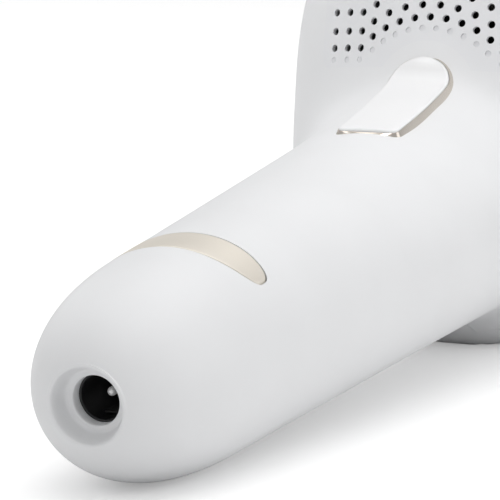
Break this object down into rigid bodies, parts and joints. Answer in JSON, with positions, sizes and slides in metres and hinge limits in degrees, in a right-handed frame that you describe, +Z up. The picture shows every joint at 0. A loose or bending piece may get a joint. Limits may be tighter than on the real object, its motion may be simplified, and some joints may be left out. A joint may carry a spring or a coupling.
{
  "type": "ipl hair remover",
  "caption": "Handheld pulsed-light hair remover with a straight handle, egg-shaped head, trigger, cooling fan and pull-off treatment window.",
  "frame": {"origin": "middle of the underside of the bounding box, on the surface the handset lies on", "axes": "+X along the handle from its end towards the head, +Z up through the light window, +Y across"},
  "size_m": [0.1933, 0.075, 0.0958],
  "materials": {
    "shell_white": "satin moulded ABS with a very fine grain",
    "cap_white": "semi-gloss moulded cap",
    "champagne": "satin champagne anodised",
    "black_plastic": "moulded black",
    "contact_metal": "nickel plated",
    "seal_rubber": "moulded seal",
    "board": "solder-masked glass epoxy",
    "sleeve": "shrink sleeve",
    "ferrite": "ferrite",
    "copper": "enamelled copper wire",
    "fin_metal": "extruded",
    "mirror_metal": "bright rolled",
    "steel": "screw steel",
    "lamp_glass": "quartz",
    "filter": "dichroic cut-off filter",
    "ceramic_white": "unglazed",
    "light_guide": "translucent polycarbonate",
    "chassis_grey": "moulded frame",
    "lens_dark": "infra-red lens",
    "lamp_body": "heat-resistant moulding"
  },
  "bodies": {
    "root": {"front_housing": "shell_white", "back_cover": "shell_white", "vent_grille": "shell_white", "handle_crescent": "champagne", "flash_button_rim": "champagne", "flash_switch": "black_plastic", "flash_switch_board": "board", "dc_socket": "black_plastic", "dc_centre_pin": "contact_metal", "dc_sleeve_spring": "contact_metal", "inlet_seal": "seal_rubber", "power_switch": "black_plastic", "level_lights": "light_guide", "control_board": "board", "charger_board": "board", "storage_capacitor": "sleeve", "transformer_core": "ferrite", "transformer_winding": "copper", "power_transistor": "black_plastic", "trigger_coil": "copper", "head_chassis": "chassis_grey", "housing_screws": "steel", "screw_plugs": "shell_white", "fan_frame": "black_plastic", "heat_sink": "fin_metal", "lamp_housing": "lamp_body", "reflector": "mirror_metal", "flash_lamp": "lamp_glass", "lamp_end_caps": "ceramic_white", "filter_frame": "chassis_grey", "filter_glass": "filter", "contact_switches": "black_plastic", "nozzle_ring": "champagne"},
    "flash_trigger": {"flash_button": "cap_white"},
    "power_key": {"power_button": "cap_white"},
    "fan": {"fan_rotor": "black_plastic"},
    "attachment": {"treatment_attachment": "shell_white", "skin_sensor_lens": "lens_dark"},
    "skin_ring": {"contact_ring": "cap_white"}
  },
  "joints": [
    {"name": "flash_button_press", "type": "slide", "parent": "root", "child": "flash_trigger", "axis": [0.3923, 0, -0.9198], "range_m": [0, 0.0008], "stiffness_N_per_m": 1500},
    {"name": "power_button_press", "type": "slide", "parent": "root", "child": "power_key", "axis": [-0.1011, 0, 0.9949], "range_m": [0, 0.0005], "stiffness_N_per_m": 1500},
    {"name": "fan_spin", "type": "hinge", "parent": "root", "child": "fan", "pos_m": [0.053, 0, 0.059], "axis": [1, 0, 0], "continuous": true},
    {"name": "attachment_pull", "type": "slide", "parent": "root", "child": "attachment", "axis": [0, 0, 1], "range_m": [0, 0.02]},
    {"name": "contact_ring_press", "type": "slide", "parent": "root", "child": "skin_ring", "axis": [0, 0, -1], "range_m": [0, 0.001], "stiffness_N_per_m": 900}
  ]
}
